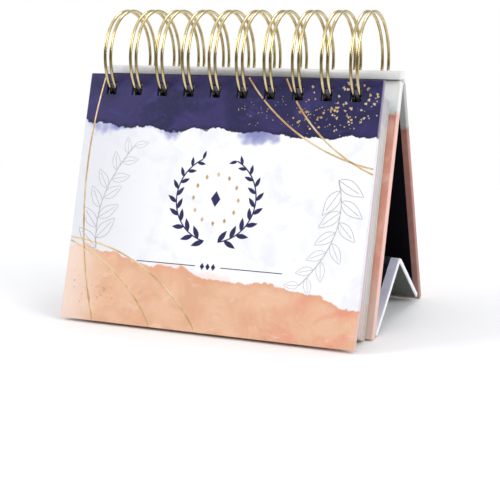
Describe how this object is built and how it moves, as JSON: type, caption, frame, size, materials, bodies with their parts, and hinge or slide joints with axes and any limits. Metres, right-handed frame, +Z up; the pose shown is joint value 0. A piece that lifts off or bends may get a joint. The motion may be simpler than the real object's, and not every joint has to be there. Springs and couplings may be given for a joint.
{
  "type": "perpetual desk calendar",
  "caption": "Tent-shaped desk calendar: turning leaves and a hard cover on a twin-loop wire, over a wrapped easel whose boards and creased base fold flat.",
  "frame": {"origin": "centre of the object's box, on the surface that it stands on", "axes": "+X along the width, to the right of a reader in front; +Y towards the back; +Z up"},
  "size_m": [0.14, 0.0902, 0.1323],
  "materials": {
    "cover_print": "smooth laminated print: navy wash at the top, white middle, peach wash below, thin gold lines",
    "cover_liner": "uncoated white sheet",
    "leaf_paper": "uncoated printed leaves, trimmed edges",
    "easel_print": "printed wrap, white at the ridge and terracotta below",
    "dark_lining": "matt near-black sheet",
    "greyboard": "raw greyboard",
    "white_wrap": "smooth white wrap",
    "white_board": "white wrapped board",
    "gilt_wire": "steel wire with a pale gold coating"
  },
  "bodies": {
    "easel": {"easel_front_board": "easel_print", "front_board_lining": "dark_lining", "ridge_spine": "greyboard", "ridge_wrap": "white_wrap", "binding_wire": "gilt_wire"},
    "cover": {"cover_board": "cover_print", "cover_lining": "cover_liner"},
    "month_01": {"month_01_leaves": "leaf_paper"},
    "month_02": {"month_02_leaves": "leaf_paper"},
    "month_03": {"month_03_leaves": "leaf_paper"},
    "month_04": {"month_04_leaves": "leaf_paper"},
    "month_05": {"month_05_leaves": "leaf_paper"},
    "month_06": {"month_06_leaves": "leaf_paper"},
    "month_07": {"month_07_leaves": "leaf_paper"},
    "month_08": {"month_08_leaves": "leaf_paper"},
    "month_09": {"month_09_leaves": "leaf_paper"},
    "month_10": {"month_10_leaves": "leaf_paper"},
    "month_11": {"month_11_leaves": "leaf_paper"},
    "month_12": {"month_12_leaves": "leaf_paper"},
    "back_board": {"easel_back_board": "easel_print", "back_board_lining": "dark_lining"},
    "base_front": {"base_front_panel": "white_board", "base_front_lining": "dark_lining"},
    "base_back": {"base_back_panel": "white_board", "base_back_lining": "dark_lining"}
  },
  "joints": [
    {"name": "cover_turn", "type": "hinge", "parent": "easel", "child": "cover", "pos_m": [0, 0.00781, 0.11083], "axis": [-1, 0, 0], "range_deg": [0, 240]},
    {"name": "month_01_turn", "type": "hinge", "parent": "easel", "child": "month_01", "pos_m": [0, 0.00781, 0.11083], "axis": [-1, 0, 0], "range_deg": [0, 235]},
    {"name": "month_02_turn", "type": "hinge", "parent": "easel", "child": "month_02", "pos_m": [0, 0.00781, 0.11083], "axis": [-1, 0, 0], "range_deg": [0, 230]},
    {"name": "month_03_turn", "type": "hinge", "parent": "easel", "child": "month_03", "pos_m": [0, 0.00781, 0.11083], "axis": [-1, 0, 0], "range_deg": [0, 225]},
    {"name": "month_04_turn", "type": "hinge", "parent": "easel", "child": "month_04", "pos_m": [0, 0.00781, 0.11083], "axis": [-1, 0, 0], "range_deg": [0, 220]},
    {"name": "month_05_turn", "type": "hinge", "parent": "easel", "child": "month_05", "pos_m": [0, 0.00781, 0.11083], "axis": [-1, 0, 0], "range_deg": [0, 215]},
    {"name": "month_06_turn", "type": "hinge", "parent": "easel", "child": "month_06", "pos_m": [0, 0.00781, 0.11083], "axis": [-1, 0, 0], "range_deg": [0, 210]},
    {"name": "month_07_turn", "type": "hinge", "parent": "easel", "child": "month_07", "pos_m": [0, 0.00781, 0.11083], "axis": [-1, 0, 0], "range_deg": [0, 205]},
    {"name": "month_08_turn", "type": "hinge", "parent": "easel", "child": "month_08", "pos_m": [0, 0.00781, 0.11083], "axis": [-1, 0, 0], "range_deg": [0, 200]},
    {"name": "month_09_turn", "type": "hinge", "parent": "easel", "child": "month_09", "pos_m": [0, 0.00781, 0.11083], "axis": [-1, 0, 0], "range_deg": [0, 195]},
    {"name": "month_10_turn", "type": "hinge", "parent": "easel", "child": "month_10", "pos_m": [0, 0.00781, 0.11083], "axis": [-1, 0, 0], "range_deg": [0, 190]},
    {"name": "month_11_turn", "type": "hinge", "parent": "easel", "child": "month_11", "pos_m": [0, 0.00781, 0.11083], "axis": [-1, 0, 0], "range_deg": [0, 185]},
    {"name": "month_12_turn", "type": "hinge", "parent": "easel", "child": "month_12", "pos_m": [0, 0.00781, 0.11083], "axis": [-1, 0, 0], "range_deg": [0, 180]},
    {"name": "back_board_fold", "type": "hinge", "parent": "easel", "child": "back_board", "pos_m": [0, 0.01344, 0.10125], "axis": [-1, 0, 0], "range_deg": [0, 28]},
    {"name": "base_front_fold", "type": "hinge", "parent": "easel", "child": "base_front", "pos_m": [0, -0.02108, 0.00182], "axis": [1, 0, 0], "range_deg": [0, 31]},
    {"name": "base_crease_fold", "type": "hinge", "parent": "base_front", "child": "base_back", "pos_m": [0, 0.01112, 0.02478], "axis": [-1, 0, 0], "range_deg": [0, 98]}
  ],
  "couplings": [
    {"joint": "month_01_turn", "follows": "cover_turn", "ratio": 0.97916},
    {"joint": "month_02_turn", "follows": "cover_turn", "ratio": 0.95833},
    {"joint": "month_03_turn", "follows": "cover_turn", "ratio": 0.9375},
    {"joint": "month_04_turn", "follows": "cover_turn", "ratio": 0.91666},
    {"joint": "month_05_turn", "follows": "cover_turn", "ratio": 0.89583},
    {"joint": "month_06_turn", "follows": "cover_turn", "ratio": 0.875},
    {"joint": "month_07_turn", "follows": "cover_turn", "ratio": 0.85416},
    {"joint": "month_08_turn", "follows": "cover_turn", "ratio": 0.83333},
    {"joint": "month_09_turn", "follows": "cover_turn", "ratio": 0.8125},
    {"joint": "month_10_turn", "follows": "cover_turn", "ratio": 0.79166},
    {"joint": "month_11_turn", "follows": "cover_turn", "ratio": 0.77083},
    {"joint": "month_12_turn", "follows": "cover_turn", "ratio": 0.75},
    {"joint": "base_front_fold", "follows": "back_board_fold", "ratio": 1.1},
    {"joint": "base_crease_fold", "follows": "back_board_fold", "ratio": 3.49}
  ]
}
